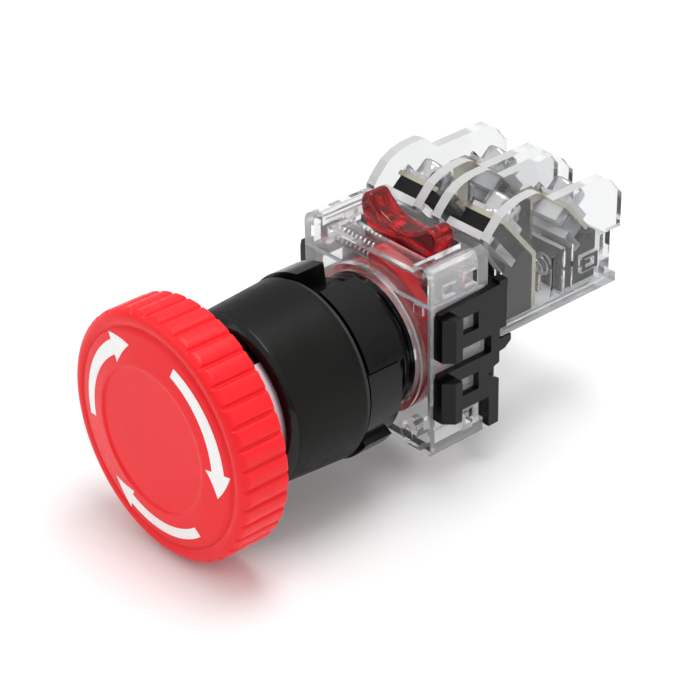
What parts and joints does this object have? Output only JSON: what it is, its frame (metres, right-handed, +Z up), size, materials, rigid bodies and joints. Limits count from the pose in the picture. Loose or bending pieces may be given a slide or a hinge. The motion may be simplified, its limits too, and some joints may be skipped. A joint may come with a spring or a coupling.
{
  "type": "emergency stop button",
  "caption": "Panel emergency stop button: red ribbed mushroom head, black collar and nut, clear clip-on holder with red locking lever, and clear contact blocks with sloping screw terminals.",
  "frame": {"origin": "centre of the panel hole at the panel's front face, where the collar ends", "axes": "+Y along the button's axis into the panel, +Z up, +X to the right seen from the front"},
  "size_m": [0.04, 0.0842, 0.0424],
  "materials": {
    "red_plastic": "satin moulded",
    "white_inlay": "smooth",
    "pale_band": "smooth",
    "black_plastic": "fine grain",
    "dark_plastic": "smooth",
    "clear_plastic": "clear, polished",
    "red_clear_plastic": "clear, polished",
    "rubber": "matt",
    "steel": "zinc plated",
    "brass": "drawn strip",
    "silver": "silver contact tip"
  },
  "bodies": {
    "fixed": {"operator_housing": "black_plastic", "panel_gasket": "rubber", "latch_ring": "steel", "return_spring": "steel", "contact_holder": "clear_plastic", "holder_cover": "clear_plastic", "lever_spring": "steel", "mounting_yoke": "black_plastic", "block_housing_left": "clear_plastic", "front_insulator_left": "dark_plastic", "rear_insulator_left": "dark_plastic", "front_terminal_left": "brass", "rear_terminal_left": "brass", "front_terminal_base_left": "dark_plastic", "rear_terminal_base_left": "clear_plastic", "fixed_contacts_left": "silver", "contact_spring_left": "steel", "block_housing_right": "clear_plastic", "front_insulator_right": "dark_plastic", "rear_insulator_right": "dark_plastic", "front_terminal_right": "brass", "rear_terminal_right": "brass", "front_terminal_base_right": "dark_plastic", "rear_terminal_base_right": "clear_plastic", "fixed_contacts_right": "silver", "contact_spring_right": "steel"},
    "nut": {"lock_nut": "black_plastic"},
    "button": {"spindle": "steel", "pusher_plate": "black_plastic", "latch_spring": "steel"},
    "cap": {"mushroom_cap": "red_plastic", "direction_arrows": "white_inlay", "neck_sleeve": "black_plastic", "status_band": "pale_band"},
    "pin_left": {"locking_pin_left": "steel"},
    "pin_right": {"locking_pin_right": "steel"},
    "lever": {"lock_lever": "red_clear_plastic"},
    "contact_left": {"plunger_left": "dark_plastic", "contact_bridge_left": "brass"},
    "front_washer_left": {"front_washer_left": "steel"},
    "front_screw_left": {"front_screw_left": "steel"},
    "rear_washer_left": {"rear_washer_left": "steel"},
    "rear_screw_left": {"rear_screw_left": "steel"},
    "contact_right": {"plunger_right": "dark_plastic", "contact_bridge_right": "brass"},
    "front_washer_right": {"front_washer_right": "steel"},
    "front_screw_right": {"front_screw_right": "steel"},
    "rear_washer_right": {"rear_washer_right": "steel"},
    "rear_screw_right": {"rear_screw_right": "steel"}
  },
  "joints": [
    {"name": "button_push", "type": "slide", "parent": "fixed", "child": "button", "axis": [0, 1, 0], "range_m": [0, 0.004], "deforming": ["return_spring"]},
    {"name": "cap_twist", "type": "hinge", "parent": "button", "child": "cap", "pos_m": [0, 0, 0], "axis": [0, 1, 0], "range_deg": [0, 45], "stiffness_Nm_per_rad": 0.05},
    {"name": "pin_left_slide", "type": "slide", "parent": "button", "child": "pin_left", "axis": [-1, 0, 0], "range_m": [0, 0.0012], "deforming": ["latch_spring"]},
    {"name": "pin_right_slide", "type": "slide", "parent": "button", "child": "pin_right", "axis": [1, 0, 0], "range_m": [0, 0.0012]},
    {"name": "lever_swing", "type": "hinge", "parent": "fixed", "child": "lever", "pos_m": [0, 0.01595, 0], "axis": [0, 1, 0], "range_deg": [-9, 0], "stiffness_Nm_per_rad": 0.05, "deforming": ["lever_spring"]},
    {"name": "nut_turn", "type": "hinge", "parent": "fixed", "child": "nut", "pos_m": [0, 0.005, 0], "axis": [0, 1, 0], "range_deg": [0, 960]},
    {"name": "contact_left_slide", "type": "slide", "parent": "fixed", "child": "contact_left", "axis": [0, 1, 0], "range_m": [0, 0.004], "deforming": ["contact_spring_left"]},
    {"name": "front_washer_left_lift", "type": "slide", "parent": "fixed", "child": "front_washer_left", "axis": [0, 0.766, 0.6428], "range_m": [0, 0.0015]},
    {"name": "front_screw_left_turn", "type": "hinge", "parent": "front_washer_left", "child": "front_screw_left", "pos_m": [-0.0074, 0.03236, 0.01697], "axis": [0, 0.766, 0.6428], "range_deg": [0, 906]},
    {"name": "rear_washer_left_lift", "type": "slide", "parent": "fixed", "child": "rear_washer_left", "axis": [0, 0.766, 0.6428], "range_m": [0, 0.0015]},
    {"name": "rear_screw_left_turn", "type": "hinge", "parent": "rear_washer_left", "child": "rear_screw_left", "pos_m": [-0.0074, 0.04666, 0.01437], "axis": [0, 0.766, 0.6428], "range_deg": [0, 906]},
    {"name": "contact_right_slide", "type": "slide", "parent": "fixed", "child": "contact_right", "axis": [0, 1, 0], "range_m": [0, 0.004], "deforming": ["contact_spring_right"]},
    {"name": "front_washer_right_lift", "type": "slide", "parent": "fixed", "child": "front_washer_right", "axis": [0, 0.766, 0.6428], "range_m": [0, 0.0015]},
    {"name": "front_screw_right_turn", "type": "hinge", "parent": "front_washer_right", "child": "front_screw_right", "pos_m": [0.0074, 0.03236, 0.01697], "axis": [0, 0.766, 0.6428], "range_deg": [0, 906]},
    {"name": "rear_washer_right_lift", "type": "slide", "parent": "fixed", "child": "rear_washer_right", "axis": [0, 0.766, 0.6428], "range_m": [0, 0.0015]},
    {"name": "rear_screw_right_turn", "type": "hinge", "parent": "rear_washer_right", "child": "rear_screw_right", "pos_m": [0.0074, 0.04666, 0.01437], "axis": [0, 0.766, 0.6428], "range_deg": [0, 906]}
  ],
  "couplings": [
    {"joint": "pin_right_slide", "follows": "pin_left_slide", "ratio": 1},
    {"joint": "contact_left_slide", "follows": "button_push", "ratio": 1},
    {"joint": "front_screw_left_turn", "follows": "front_washer_left_lift", "rad_per_m": 10472},
    {"joint": "rear_screw_left_turn", "follows": "rear_washer_left_lift", "rad_per_m": 10472},
    {"joint": "contact_right_slide", "follows": "button_push", "ratio": 1},
    {"joint": "front_screw_right_turn", "follows": "front_washer_right_lift", "rad_per_m": 10472},
    {"joint": "rear_screw_right_turn", "follows": "rear_washer_right_lift", "rad_per_m": 10472}
  ]
}
